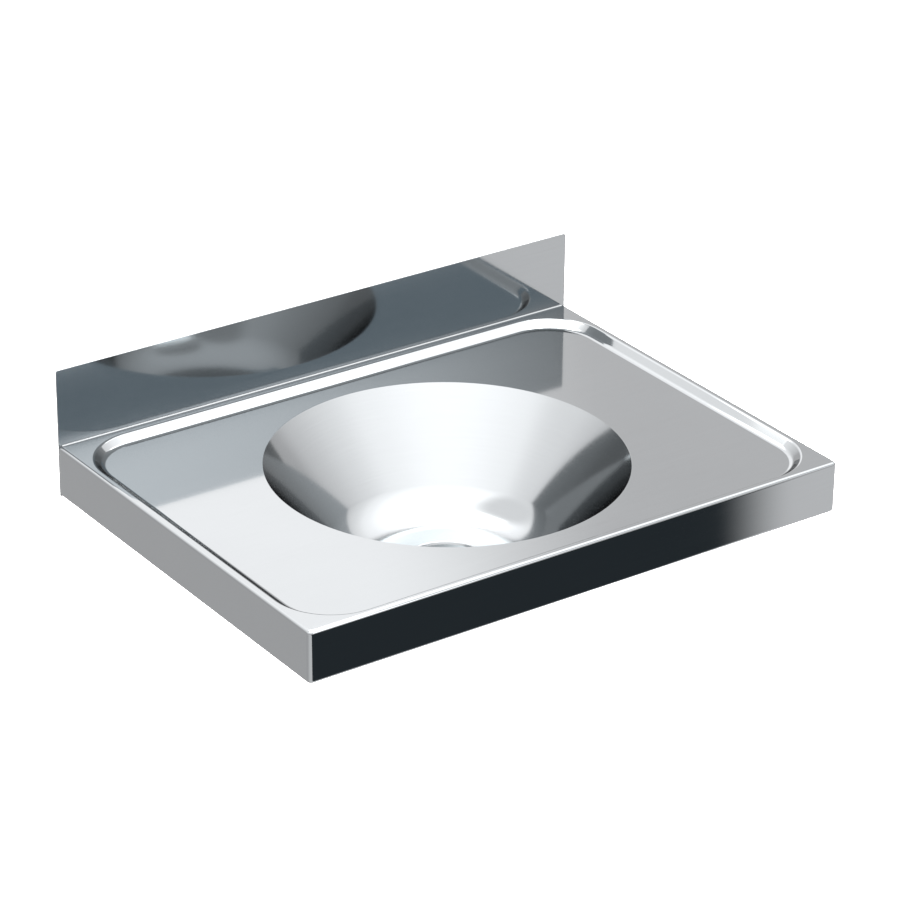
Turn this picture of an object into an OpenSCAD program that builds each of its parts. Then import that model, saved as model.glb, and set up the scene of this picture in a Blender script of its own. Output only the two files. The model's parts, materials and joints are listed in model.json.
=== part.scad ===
// Wall-hung hand basin in stainless steel sheet: a pressed deck with folded aprons,
// a splashback, a welded conical bowl, two hidden wall brackets and a grid waste.
// Millimetres. X runs to the right, Y towards the wall, Z up.
// The origin is on the wall plane, on the centreline, level with the top of the rim.

/* [Basin] */
// Width over the side aprons
basin_w = 510; // [480:1:640]
// Depth from the wall to the front apron
basin_d = 375; // [362:1:480]
// Height of the aprons below the rim
apron_h = 45; // [40:0.5:70]
// Thickness of the deck and splashback sheet
sheet_t = 1.5; // [1:0.1:2]
// Outer radius of the folds between deck, aprons and lip
edge_r = 3; // [2.2:0.1:4]
// Outer radius of the upright corners between the aprons
corner_r = 4.5; // [4.1:0.1:8]
// Width of the lip folded in under the aprons
lip_w = 14; // [8:0.5:18]

/* [Splashback] */
// Height of the splashback above the rim
splash_h = 68; // [30:1:150]
// Radius on the top corners of the splashback
splash_corner_r = 2; // [0.5:0.5:20]
// Radius of the cove between the deck and the splashback
cove_r = 3; // [2:0.5:4]
// Depth of the band that runs behind the deck, below the rim
band_h = 15; // [12:0.5:18]
// Width of the legs that close the ends of the side aprons
leg_w = 20; // [14:1:30]

/* [Tray] */
// Depth of the pressed tray below the rim
tray_depth = 6.3; // [5:0.1:8]
// Flat part of the rim along the sides, beside the fold
rim_side_flat = 2.5; // [1.5:0.1:20]
// Flat part of the rim along the front, beside the fold
rim_front_flat = 2; // [1.5:0.1:8]
// Flat part of the rim along the splashback, beside the cove
rim_back_flat = 3.5; // [1.5:0.1:8]
// Plan radius of the tray corners where the rim starts to dip
tray_corner_r = 52; // [40:1:70]
// Steepest angle of the slope between rim and tray
slope_angle = 42; // [35:1:55]
// Radius of the crest at the top of the slope
crest_r = 3.5; // [2.5:0.1:4.5]
// Radius of the hollow at the foot of the slope
foot_r = 7; // [3:0.5:9]

/* [Bowl] */
// Radius of the bowl mouth at the tray
bowl_r = 150; // [138:1:153]
// Depth of the bowl from the tray to the ring round the waste
bowl_depth = 92; // [75:1:130]
// Thickness of the bowl sheet
bowl_t = 1.2; // [1:0.1:1.5]
// Radius at which the wall and the floor would meet in a sharp corner
bowl_floor_r = 80; // [72:1:95]
// Inside radius of the bend between wall and floor
floor_bend_r = 30; // [12:1:34]
// Fall of the floor towards the waste, in degrees
floor_fall = 3; // [1:0.5:6]
// Radius of the bend between wall and flange
mouth_bend_r = 3; // [1.6:0.1:5]
// Width of the flange welded under the tray
bowl_flange_w = 8; // [5:0.5:10]

/* [Waste seat] */
// Radius of the outlet hole in the seat
outlet_r = 27; // [26:0.5:29]
// Depth of the seat below the floor
seat_drop = 3; // [2.6:0.1:4.5]
// Gap between the waste flange and the wall of the seat
seat_gap = 2; // [1:0.1:4]
// Slant of the seat wall from the horizontal
seat_angle = 60; // [50:1:75]
// Radius at the foot of the seat wall
seat_foot_r = 1; // [0.5:0.1:1.2]
// Radius at the top of the seat wall
seat_top_r = 1.7; // [1.6:0.1:2]

/* [Waste] */
// Radius of the waste flange
waste_flange_r = 31.5; // [30.5:0.5:34]
// Thickness of the grid
grid_t = 1.2; // [0.8:0.1:1.5]
// Radius at which the grid starts to dish
dish_r = 24; // [22:0.5:25.5]
// Radius of the flat bottom of the dish
dish_floor_r = 18; // [16:0.5:20]
// Depth of the dish
dish_drop = 3; // [2:0.1:4]
// Radius of the bends of the dish
dish_bend_r = 2; // [1.6:0.1:3]
// Radius of the holes in the grid
grid_hole_r = 2.4; // [1.5:0.1:2.5]
// Thickness of the seal above the seat
top_seal_t = 1; // [0.5:0.1:1.4]
// Thickness of the seal below the bowl
low_seal_t = 3; // [2:0.5:4]
// Thickness of the body flange
body_flange_t = 3.5; // [2.5:0.5:5]
// Inner radius of the body throat
throat_r = 23; // [22:0.5:24]
// Wall thickness round the throat
throat_wall = 3.5; // [2.5:0.5:4.5]
// Depth of the throat below the flange
throat_h = 6; // [4:0.5:10]
// Height of the taper between throat and tail
taper_h = 4; // [3:0.5:8]
// Outer radius of the threaded tail, one and a quarter inch pipe thread
tail_r = 20.95; // [18:0.05:21]
// Radius of the bore of the tail
tail_bore_r = 18.2; // [14:0.1:18.5]
// Length of the straight tail
tail_l = 28; // [20:1:45]
// Radius of the hub that takes the screw
hub_r = 6.5; // [5:0.5:8]
// Height of the hub
hub_h = 13; // [10:1:16]
// Thickness of the spokes that carry the hub
spoke_t = 2.5; // [2:0.5:4]
// Height of the spokes
spoke_h = 7; // [4:0.5:8]
// Thread radius of the waste screw
screw_r = 3; // [2.5:0.5:3]
// Radius of the screw head
screw_head_r = 5; // [4.5:0.5:5.5]
// Height of the screw head
screw_head_h = 2.4; // [1.6:0.1:2.6]
// Width of the screwdriver slot
screw_slot_w = 1.2; // [0.8:0.1:1.6]
// Depth of the screwdriver slot
screw_slot_h = 1.2; // [0.6:0.1:1.3]
// Length of screw showing below the hub
screw_tip = 2; // [1:0.5:6]

/* [Brackets] */
// Gap between the bowl flange and the brackets
bowl_clear = 17; // [12:1:22]
// Width of the bracket flanges
bracket_w = 30; // [28:1:32]
// Thickness of the bracket plate
bracket_t = 3; // [2:0.5:4]
// Inside radius of the bracket folds
bracket_fold_r = 2; // [1:0.5:2.5]
// Reach of the bracket from the wall
bracket_l = 300; // [285:1:330]
// Height of the web at the nose
nose_h = 20; // [14:1:30]
// Lowest point of the bracket below the rim
leg_drop = 84; // [78:1:110]
// Length of the level lower edge next to the wall
heel_l = 30; // [10:1:80]
// Distance between the two wall holes of a bracket
wall_hole_gap = 44; // [30:1:48]
// Distance from the lower wall hole to the end of the leg
wall_hole_edge = 10; // [8:0.5:12]
// Radius of the wall holes
wall_hole_r = 4.5; // [3:0.25:5.5]
// Clear space between the bracket and the band of the splashback
band_clear = 5; // [2:0.5:6]

/* [Fixings under the deck] */
// Thickness of the stud plates
stud_plate_t = 3; // [2:0.5:4]
// Length of the stud plates
stud_plate_l = 240; // [215:1:260]
// Corner radius of the stud plates
stud_plate_r = 5; // [2:1:8]
// Distance between the two studs of a plate
stud_gap = 180; // [120:1:195]
// Distance from the wall to the middle of the stud plates
stud_mid = 165; // [155:1:170]
// Thread radius of the studs
stud_r = 3; // [2.5:0.5:3]
// Length of the studs
stud_l = 14; // [12:0.5:20]
// Length of the bracket slots
slot_l = 13; // [8:0.5:20]
// Outer radius of the washers
washer_r = 7.5; // [6:0.5:8]
// Thickness of the washers
washer_t = 1.6; // [1:0.1:2]
// Width of the nuts across the flats
nut_w = 10; // [9:0.5:11]
// Height of the nuts
nut_h = 5; // [4:0.5:6]

/* [Bonding tag and damping pad] */
// Width of the bonding tag
tag_w = 14; // [11:0.5:16]
// Length of the welded foot of the tag
tag_foot = 16; // [12:0.5:24]
// Drop of the tag below the tray
tag_drop = 20; // [16:0.5:26]
// Radius of the hole in the tag
tag_hole_r = 3.25; // [2.5:0.25:3.5]
// Outer radius of the fold of the tag
tag_fold_r = 3; // [2.2:0.1:4]
// Distance from the side apron to the middle of the tag
tag_side = 33; // [28:1:60]
// Distance from the front apron to the face of the tag
tag_front = 55; // [48:1:58]
// Thickness of the damping pad
pad_t = 2.5; // [1.5:0.5:5]
// Bare margin round the damping pad
pad_margin = 3; // [1:0.5:6]

/* [Hidden] */
$fn = 96;

// How far a cut runs past what it cuts
over = 1;
// Flat that a pressed strip shares with the plate beside it
lap = 0.8;
// Radial room between a thread and its hole
thread_clear = 0.1;
// Radial room between a fixing and its clearance hole
hole_clear = 0.4;
// Flats in a bend
bend_flats = 6;
// Sides of a nut
nut_sides = 6;
// Spokes of the waste body
spokes = 4;
// Holes in the inner and the outer ring of the grid
ring_holes = [6, 12];
// Radii of those rings as shares of the flat bottom of the dish
ring_shares = [0.48, 0.81];

// Sheet profiles in two dimensions

// Direction from a to b
function way(a, b) = (b - a) / norm(b - a);
// Direction turned a quarter to the right
function right_of(d) = [d[1], -d[0]];
// Direction turned to the left by an angle
function turned(d, angle) = [d[0] * cos(angle) - d[1] * sin(angle),
    d[0] * sin(angle) + d[1] * cos(angle)];
// Turn at b on the path a, b, c, positive to the left
function turn(a, b, c) = let (u = way(a, b), v = way(b, c))
    atan2(u[0] * v[1] - u[1] * v[0], u * v);
// Straight length that a bend takes from each side of its corner
function trim(angle, r) = r * tan(abs(angle) / 2);

// Points of the face that lies at distance d to the right of the path, round its corner i
function corner_points(pts, radii, i, d) =
    i == 0 ? [pts[0] + right_of(way(pts[0], pts[1])) * d]
    : i == len(pts) - 1 ? [pts[i] + right_of(way(pts[i - 1], pts[i])) * d]
    : let (
        angle = turn(pts[i - 1], pts[i], pts[i + 1]),
        u = way(pts[i - 1], pts[i]),
        r = radii[i] * sign(angle),
        centre = pts[i] - u * trim(angle, radii[i]) - right_of(u) * r
    ) [for (k = [0 : bend_flats])
        centre + right_of(turned(u, angle * k / bend_flats)) * (r + d)];

// Sheet of thickness t on the right of a path, with a radius for each corner of the path
module sheet_path(pts, radii, t) {
    last = len(pts) - 1;
    polygon([
        for (i = [0 : last]) each corner_points(pts, radii, i, 0),
        for (i = [last : -1 : 0]) let (row = corner_points(pts, radii, i, t))
            for (k = [len(row) - 1 : -1 : 0]) row[k]
    ]);
}

// Rectangle with four round corners
module round_plan(x0, x1, y0, y1, r) {
    translate([x0 + r, y0]) square([x1 - x0 - 2 * r, y1 - y0]);
    translate([x0, y0 + r]) square([x1 - x0, y1 - y0 - 2 * r]);
    for (x = [x0 + r, x1 - r], y = [y0 + r, y1 - r]) translate([x, y]) circle(r = r);
}

// Rectangle with round corners at the front only
module front_round_plan(x0, x1, y0, y1, r) {
    round_plan(x0, x1, y0, y1, r);
    translate([x0, y0 + r]) square([x1 - x0, y1 - y0 - r]);
}

// Places a profile drawn in y and z on the x axis and gives it a width
module along_x(x0, x1) {
    translate([x0, 0, 0]) rotate([90, 0, 90]) linear_extrude(x1 - x0) children();
}

// Places a profile drawn in x and z on the y axis and gives it a width
module along_y(y0, y1) {
    translate([0, y1, 0]) rotate([90, 0, 0]) linear_extrude(y1 - y0) children();
}

module both_sides() {
    children();
    mirror([1, 0, 0]) children();
}

// Deck

half_w = basin_w / 2;
front_y = -basin_d;
back_y = -sheet_t;
// Plan lines where the rim starts to dip
crest_x = half_w - edge_r - rim_side_flat;
crest_front = front_y + edge_r + rim_front_flat;
crest_back = back_y - cove_r - rim_back_flat;
// Width of the slope in plan, from the start of the crest to the end of the foot
slope_straight = (tray_depth - (crest_r + foot_r) * (1 - cos(slope_angle))) / sin(slope_angle);
slope_run = (crest_r + foot_r) * sin(slope_angle) + slope_straight * cos(slope_angle);
tray_z = -tray_depth;
tray_under = tray_z - sheet_t;
centre_y = front_y / 2;
// Plan radius at the inner edge of the slope
tray_inner_r = tray_corner_r - slope_run;

// Slope from the tray up to the rim, drawn outwards from the tray with its end at reach
module slope_profile(reach) {
    foot = reach - slope_run + trim(slope_angle, foot_r);
    crest = reach - trim(slope_angle, crest_r);
    sheet_path([[reach - slope_run - lap, tray_z], [foot, tray_z], [crest, 0], [reach + lap, 0]],
        [0, foot_r, crest_r, 0], sheet_t);
}

// Fold from the rim down the apron and in under it, its outer face at reach
module apron_profile(reach, start) {
    sheet_path([[start, 0], [reach, 0], [reach, -apron_h], [start, -apron_h]],
        [0, edge_r, edge_r, 0], sheet_t);
}

module corner_sweep(x, y, angle) {
    translate([x, y, 0]) rotate([0, 0, angle]) rotate_extrude(angle = 90) children();
}

module deck_slopes() {
    both_sides() {
        along_y(crest_front + tray_corner_r, crest_back - tray_corner_r) slope_profile(crest_x);
        corner_sweep(crest_x - tray_corner_r, crest_back - tray_corner_r, 0)
            slope_profile(tray_corner_r);
        corner_sweep(crest_x - tray_corner_r, crest_front + tray_corner_r, -90)
            slope_profile(tray_corner_r);
    }
    long = crest_x - tray_corner_r;
    along_x(-long, long) slope_profile(crest_back);
    translate([0, crest_front, 0]) mirror([0, 1, 0]) along_x(-long, long) slope_profile(0);
}

module deck_aprons() {
    fold_start = edge_r + lap;
    both_sides() {
        along_y(front_y + corner_r, back_y) apron_profile(half_w, half_w - fold_start);
        corner_sweep(half_w - corner_r, front_y + corner_r, -90)
            apron_profile(corner_r, (corner_r - edge_r) / 2);
    }
    long = half_w - corner_r;
    translate([0, front_y, 0]) mirror([0, 1, 0])
        along_x(-long, long) apron_profile(0, -fold_start);
}

module deck() {
    fold_x = half_w - edge_r;
    fold_front = front_y + edge_r;
    fold_corner = corner_r - edge_r;
    lip_x = half_w - lip_w;
    color("lightgray") {
        deck_slopes();
        deck_aprons();
        translate([0, 0, -sheet_t]) linear_extrude(sheet_t) difference() {
            front_round_plan(-fold_x, fold_x, fold_front, back_y, fold_corner);
            round_plan(-crest_x, crest_x, crest_front, crest_back, tray_corner_r);
        }
        translate([0, 0, tray_under]) linear_extrude(sheet_t) difference() {
            round_plan(-crest_x + slope_run, crest_x - slope_run, crest_front + slope_run,
                crest_back - slope_run, tray_inner_r);
            translate([0, centre_y]) circle(r = bowl_r);
        }
        translate([0, 0, -apron_h]) linear_extrude(sheet_t) difference() {
            front_round_plan(-fold_x, fold_x, fold_front, back_y, fold_corner);
            translate([-lip_x, front_y + lip_w]) square([2 * lip_x, basin_d]);
        }
    }
}

// Splashback: one flat sheet behind the deck, cut away between its legs, with a coved seam

module splash_outline() {
    r = splash_corner_r;
    translate([-half_w, -band_h]) square([basin_w, band_h + splash_h - r]);
    translate([-half_w + r, 0]) square([basin_w - 2 * r, splash_h]);
    for (x = [-half_w + r, half_w - r]) translate([x, splash_h - r]) circle(r = r);
    for (x = [-half_w, half_w - leg_w]) translate([x, -apron_h]) square([leg_w, apron_h]);
}

module splashback() {
    cove_x = half_w - edge_r;
    color("slategray") {
        along_y(-sheet_t, 0) splash_outline();
        along_x(-cove_x, cove_x) difference() {
            translate([back_y - cove_r, 0]) square([cove_r, cove_r]);
            translate([back_y - cove_r, cove_r]) circle(r = cove_r);
        }
    }
}

// Bowl: a revolved sheet, its path running up the inside from the outlet to the flange

floor_z = tray_z - bowl_depth;
seat_z = floor_z - seat_drop;
seat_r = waste_flange_r + seat_gap;
seat_out_r = seat_r + seat_drop / tan(seat_angle);
floor_edge_z = floor_z + (bowl_floor_r - seat_out_r) * tan(floor_fall);
wall_angle = atan2(tray_under - floor_edge_z, bowl_r - bowl_floor_r);
// Radius of the sharp corner at the mouth, so that the flange starts under the edge of the tray
mouth_corner_r = bowl_r - trim(wall_angle, mouth_bend_r);

module bowl_sheet() {
    sheet_path([[outlet_r, seat_z], [seat_r, seat_z], [seat_out_r, floor_z],
        [bowl_floor_r, floor_edge_z], [mouth_corner_r, tray_under],
        [bowl_r + bowl_flange_w, tray_under]],
        [0, seat_foot_r, seat_top_r, floor_bend_r, mouth_bend_r, 0], bowl_t);
}

module bowl() {
    color("whitesmoke") translate([0, centre_y, 0]) rotate_extrude() bowl_sheet();
}

// Height of the underside of the floor at radius r
function floor_under(r) = floor_z + (r - seat_out_r) * tan(floor_fall) - bowl_t / cos(floor_fall);

module damping_pad() {
    inner = seat_out_r + seat_top_r + pad_margin;
    outer = bowl_floor_r - trim(wall_angle - floor_fall, floor_bend_r) - pad_margin;
    color("dimgray") translate([0, centre_y, 0]) rotate_extrude()
        sheet_path([[inner, floor_under(inner)], [outer, floor_under(outer)]], [0, 0], pad_t);
}

// Stud plates and studs under the tray

plate_x = bowl_r + bowl_flange_w + bowl_clear + bracket_w / 2;
plate_under = tray_under - stud_plate_t;
stud_ys = [-stud_mid - stud_gap / 2, -stud_mid + stud_gap / 2];

module stud_plate() {
    y0 = -stud_mid - stud_plate_l / 2;
    color("silver") translate([0, 0, plate_under]) linear_extrude(stud_plate_t)
        round_plan(plate_x - bracket_w / 2, plate_x + bracket_w / 2, y0, y0 + stud_plate_l,
            stud_plate_r);
}

module stud_plate_left() {
    mirror([1, 0, 0]) stud_plate();
}

module stud_plate_right() {
    stud_plate();
}

module at_studs(z) {
    for (x = [-plate_x, plate_x], y = stud_ys) translate([x, y, z]) children();
}

module weld_studs() {
    color("silver") at_studs(plate_under - stud_l) cylinder(r = stud_r, h = stud_l);
}

// Brackets: a web with a flange folded along its top and another against the wall

flange_under = plate_under - bracket_t;
bracket_out = plate_x + bracket_w / 2;
bracket_in = plate_x - bracket_w / 2;
bracket_bend = bracket_t + bracket_fold_r;
leg_top = -band_h - band_clear;
wall_hole_low = -leg_drop + wall_hole_edge;
slot_r = stud_r + hole_clear;

module bracket_fold(from, to) {
    sheet_path([[bracket_in, from], [bracket_out, from], [bracket_out, to]],
        [0, bracket_bend, 0], bracket_t);
}

module bracket_side() {
    polygon([[-bracket_bend, plate_under], [-bracket_l, plate_under],
        [-bracket_l, plate_under - nose_h], [-heel_l, -leg_drop], [-bracket_bend, -leg_drop]]);
}

module bracket_arm() {
    difference() {
        intersection() {
            along_y(-bracket_l, -bracket_bend) bracket_fold(plate_under, -leg_drop);
            along_x(bracket_in - over, bracket_out + over) bracket_side();
        }
        for (y = stud_ys) translate([plate_x, y, flange_under - over]) slot_cut();
    }
}

module slot_cut() {
    depth = bracket_t + 2 * over;
    run = slot_l / 2 - slot_r;
    for (y = [-run, run]) translate([0, y, 0]) cylinder(r = slot_r, h = depth);
    translate([-slot_r, -run, 0]) cube([2 * slot_r, 2 * run, depth]);
}

module bracket_leg() {
    difference() {
        translate([0, 0, -leg_drop]) linear_extrude(leg_top + leg_drop)
            bracket_fold(0, -bracket_bend - lap);
        for (z = [wall_hole_low, wall_hole_low + wall_hole_gap])
            translate([plate_x, over, z]) rotate([90, 0, 0])
                cylinder(r = wall_hole_r, h = bracket_t + 2 * over);
    }
}

module bracket() {
    color("gainsboro") {
        bracket_arm();
        bracket_leg();
    }
}

module bracket_left() {
    mirror([1, 0, 0]) bracket();
}

module bracket_right() {
    bracket();
}

module bracket_washers() {
    color("silver") at_studs(flange_under - washer_t) difference() {
        cylinder(r = washer_r, h = washer_t);
        translate([0, 0, -over]) cylinder(r = stud_r + hole_clear, h = washer_t + 2 * over);
    }
}

module bracket_nuts() {
    color("silver") at_studs(flange_under - washer_t - nut_h) difference() {
        cylinder(d = nut_w / cos(180 / nut_sides), h = nut_h, $fn = nut_sides);
        translate([0, 0, -over]) cylinder(r = stud_r + thread_clear, h = nut_h + 2 * over);
    }
}

// Bonding tag under the front right of the tray, its hole towards the wall

tag_x = half_w - tag_side;
tag_face = front_y + tag_front;
tag_hole_z = tray_under - tag_drop + tag_w / 2;

module bonding_tag() {
    color("goldenrod") difference() {
        translate([0, tag_face, 0]) along_x(tag_x - tag_w / 2, tag_x + tag_w / 2)
            sheet_path([[-tag_foot, tray_under], [0, tray_under], [0, tray_under - tag_drop]],
                [0, tag_fold_r, 0], sheet_t);
        translate([tag_x, tag_face + over, tag_hole_z]) rotate([90, 0, 0])
            cylinder(r = tag_hole_r, h = sheet_t + 2 * over);
    }
}

// Waste, from the top down

grid_under = seat_z + top_seal_t;
grid_top = grid_under + grid_t;
dish_z = grid_top - dish_drop;
bowl_under = seat_z - bowl_t;
body_top = bowl_under - low_seal_t;
body_flange_under = body_top - body_flange_t;
throat_z = body_flange_under - throat_h;
tail_top = throat_z - taper_h;
tail_end = tail_top - tail_l;
hub_top = body_flange_under;
hub_end = hub_top - hub_h;

module at_waste(z) {
    translate([0, centre_y, z]) children();
}

module waste_grid() {
    hole = screw_r + hole_clear;
    color("silver") difference() {
        at_waste(0) rotate_extrude()
            sheet_path([[hole, dish_z], [dish_floor_r, dish_z], [dish_r, grid_top],
                [waste_flange_r, grid_top]], [0, dish_bend_r, dish_bend_r, 0], grid_t);
        for (ring = [0 : len(ring_holes) - 1], i = [1 : ring_holes[ring]])
            at_waste(dish_z - grid_t - over) rotate([0, 0, 360 * i / ring_holes[ring]])
                translate([ring_shares[ring] * dish_floor_r, 0, 0])
                    cylinder(r = grid_hole_r, h = grid_t + 2 * over);
    }
}

module waste_screw() {
    tip = hub_end - screw_tip;
    color("silver") difference() {
        union() {
            at_waste(tip) cylinder(r = screw_r, h = dish_z - tip);
            at_waste(dish_z) cylinder(r = screw_head_r, h = screw_head_h);
        }
        at_waste(dish_z + screw_head_h - screw_slot_h)
            translate([-screw_head_r - over, -screw_slot_w / 2, 0])
                cube([2 * (screw_head_r + over), screw_slot_w, screw_slot_h + over]);
    }
}

module flat_ring(inner, outer, t) {
    difference() {
        cylinder(r = outer, h = t);
        translate([0, 0, -over]) cylinder(r = inner, h = t + 2 * over);
    }
}

module waste_seal_top() {
    color("black") at_waste(seat_z) flat_ring(outlet_r, waste_flange_r, top_seal_t);
}

module waste_seal_bottom() {
    color("black") at_waste(body_top) flat_ring(outlet_r, waste_flange_r, low_seal_t);
}

module waste_body() {
    neck = throat_r + throat_wall;
    color("silver") difference() {
        at_waste(0) {
            rotate_extrude() polygon([[waste_flange_r, body_top],
                [waste_flange_r, body_flange_under], [neck, body_flange_under], [neck, throat_z],
                [tail_r, tail_top], [tail_r, tail_end], [tail_bore_r, tail_end],
                [tail_bore_r, tail_top], [throat_r, throat_z], [throat_r, body_top]]);
            translate([0, 0, hub_end]) cylinder(r = hub_r, h = hub_h);
            for (i = [0 : spokes - 1]) rotate([0, 0, 360 * i / spokes])
                translate([0, -spoke_t / 2, hub_top - spoke_h])
                    cube([throat_r + lap, spoke_t, spoke_h]);
        }
        at_waste(hub_end - over) cylinder(r = screw_r + thread_clear, h = hub_h + 2 * over);
    }
}

deck();
splashback();
bowl();
damping_pad();
stud_plate_left();
stud_plate_right();
weld_studs();
bracket_left();
bracket_right();
bracket_washers();
bracket_nuts();
bonding_tag();
waste_grid();
waste_screw();
waste_seal_top();
waste_seal_bottom();
waste_body();
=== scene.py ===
import bpy
import json
import math
from mathutils import Matrix, Vector

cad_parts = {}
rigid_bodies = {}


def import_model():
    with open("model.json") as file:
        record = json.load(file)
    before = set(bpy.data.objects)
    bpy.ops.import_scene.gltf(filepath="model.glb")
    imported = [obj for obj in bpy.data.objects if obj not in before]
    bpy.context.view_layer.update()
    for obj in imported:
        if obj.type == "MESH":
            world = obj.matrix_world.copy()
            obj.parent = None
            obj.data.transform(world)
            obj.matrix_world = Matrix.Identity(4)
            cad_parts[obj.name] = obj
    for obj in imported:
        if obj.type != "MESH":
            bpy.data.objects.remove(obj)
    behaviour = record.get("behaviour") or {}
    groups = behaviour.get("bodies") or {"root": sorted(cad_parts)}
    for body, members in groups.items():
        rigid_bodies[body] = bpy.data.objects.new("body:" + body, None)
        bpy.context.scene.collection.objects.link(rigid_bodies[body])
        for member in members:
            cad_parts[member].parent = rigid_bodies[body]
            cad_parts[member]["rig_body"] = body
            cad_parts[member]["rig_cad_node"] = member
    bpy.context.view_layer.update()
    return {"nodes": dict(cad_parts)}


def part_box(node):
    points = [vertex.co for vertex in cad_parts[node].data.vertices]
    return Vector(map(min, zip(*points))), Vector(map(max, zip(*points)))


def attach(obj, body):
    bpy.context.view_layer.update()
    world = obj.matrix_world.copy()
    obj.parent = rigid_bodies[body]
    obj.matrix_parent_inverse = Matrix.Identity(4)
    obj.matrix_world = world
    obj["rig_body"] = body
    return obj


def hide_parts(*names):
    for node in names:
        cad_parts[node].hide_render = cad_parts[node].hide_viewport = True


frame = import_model()
cad = frame["nodes"]
print("frame loaded,", len(cad), "nodes")

mm = 0.001
near = 0.002      # mm within which two places count as the same
square = 0.99      # share of a normal along an axis from which a face counts as square to it


def sidesOf(node):      # lowest and highest corner of a CAD piece, in mm
    return [[round(v / mm, 2) for v in corner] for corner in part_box(node)]


deckLow, deckHigh = sidesOf("deck")
bowlAxis = (0, deckLow[1] / 2)      # plan place of the bowl and waste, midway from wall to front


# Modelling helpers, all in millimetres

def clearAll():
    if bpy.context.object and bpy.context.object.mode != "OBJECT":
        bpy.ops.object.mode_set(mode="OBJECT")
    bpy.ops.object.select_all(action="DESELECT")


def pick(*pieces):
    clearAll()
    for piece in pieces:
        piece.select_set(True)
    bpy.context.view_layer.objects.active = pieces[0]
    return pieces[0]


def settle(piece, name):      # place and size go into the mesh
    pick(piece)
    bpy.ops.object.transform_apply(location=True, rotation=True, scale=True)
    piece.name = name
    piece.data.name = name
    return piece


def block(name, low, high):
    clearAll()
    size = [(b - a) * mm for a, b in zip(low, high)]
    middle = [(a + b) / 2 * mm for a, b in zip(low, high)]
    bpy.ops.mesh.primitive_cube_add(size=1, location=middle, scale=size)
    return settle(bpy.context.object, name)


def rod(name, at, radius, low, high, sides, turn=0):
    clearAll()
    bpy.ops.mesh.primitive_cylinder_add(vertices=sides, radius=radius * mm, depth=(high - low) * mm,
        location=(at[0] * mm, at[1] * mm, (low + high) / 2 * mm), rotation=(0, 0, math.radians(turn)))
    return settle(bpy.context.object, name)


def openMesh(piece, kind=None, action="SELECT"):      # edit mode, with all or nothing selected
    pick(piece)
    bpy.ops.object.mode_set(mode="EDIT")
    if kind:
        bpy.ops.mesh.select_mode(type=kind)
    bpy.ops.mesh.select_all(action=action)


def done():      # back to object mode
    bpy.ops.object.mode_set(mode="OBJECT")


def chooseFaces(piece, test):      # ends in edit mode with those faces selected
    openMesh(piece, "FACE", "DESELECT")
    done()
    for face in piece.data.polygons:
        face.select = test(face.center / mm, face.normal)
    bpy.ops.object.mode_set(mode="EDIT")


def chooseEdges(piece, test):      # likewise, by the two ends of each edge
    openMesh(piece, "EDGE", "DESELECT")
    done()
    points = piece.data.vertices
    for edge in piece.data.edges:
        a, b = (points[i].co / mm for i in edge.vertices)
        edge.select = test(a, b)
    bpy.ops.object.mode_set(mode="EDIT")


def join(*pieces):
    pick(*pieces)
    bpy.ops.object.join()
    return pieces[0]


def apply(piece, kind, **settings):
    pick(piece)
    bpy.ops.object.modifier_add(type=kind)
    modifier = piece.modifiers[-1]
    for key, value in settings.items():
        setattr(modifier, key, value)
    bpy.ops.object.modifier_apply(modifier=modifier.name)
    return piece


def combine(piece, other, operation="DIFFERENCE"):      # uses up the other piece
    apply(piece, "BOOLEAN", operation=operation, object=other, solver="EXACT")
    bpy.data.objects.remove(other)
    return piece


def breakEdges(piece, width, segments, angle):      # rounds edges that are sharper than angle
    return apply(piece, "BEVEL", width=width * mm, segments=segments, limit_method="ANGLE",
        angle_limit=math.radians(angle), use_clamp_overlap=True)


def tidyMesh(piece, distance=0.004):
    openMesh(piece)
    bpy.ops.mesh.remove_doubles(threshold=distance * mm)
    bpy.ops.mesh.normals_make_consistent(inside=False)
    done()
    return piece


def smooth(piece, angle=32, weighted=True):
    pick(piece)
    bpy.ops.object.shade_smooth_by_angle(angle=math.radians(angle))
    if weighted:
        apply(piece, "WEIGHTED_NORMAL", weight=90, keep_sharp=True)
    return piece


def twin(piece, name, across):      # a copy with its own mesh, moved
    pick(piece)
    bpy.ops.object.duplicate()
    copy = bpy.context.object
    copy.location = [v * mm for v in across]
    return settle(copy, name)


# Points of a bent line, on the face that lies at distance away to its right
def bendLine(corners, radii, steps, away=0):
    line = [Vector(c) for c in corners]
    points = []
    for i, b in enumerate(line):
        if i in (0, len(line) - 1):
            u = (line[1] - b if i == 0 else b - line[i - 1]).normalized()
            points.append(b + Vector((u.y, -u.x)) * away)
            continue
        u, v = (b - line[i - 1]).normalized(), (line[i + 1] - b).normalized()
        angle = math.atan2(u.x * v.y - u.y * v.x, u.dot(v))
        r = radii[i]
        if r == 0:
            half = Vector((u.y, -u.x)) + Vector((v.y, -v.x))
            points.append(b + half * (away / (1 + u.dot(v))))
            continue
        left = Vector((-u.y, u.x)) * math.copysign(1, angle)
        centre = b - u * r * math.tan(abs(angle) / 2) + left * r
        for k in range(steps + 1):
            out = Matrix.Rotation(angle * k / steps, 2) @ -left
            points.append(centre + out * (r + math.copysign(away, angle) if away else r))
    return points


def sheetLoop(corners, radii, steps, thickness):      # both faces of a bent sheet, as one loop
    face = bendLine(corners, radii, steps)
    back = bendLine(corners, radii, steps, thickness)
    return face + back[::-1]


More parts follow.
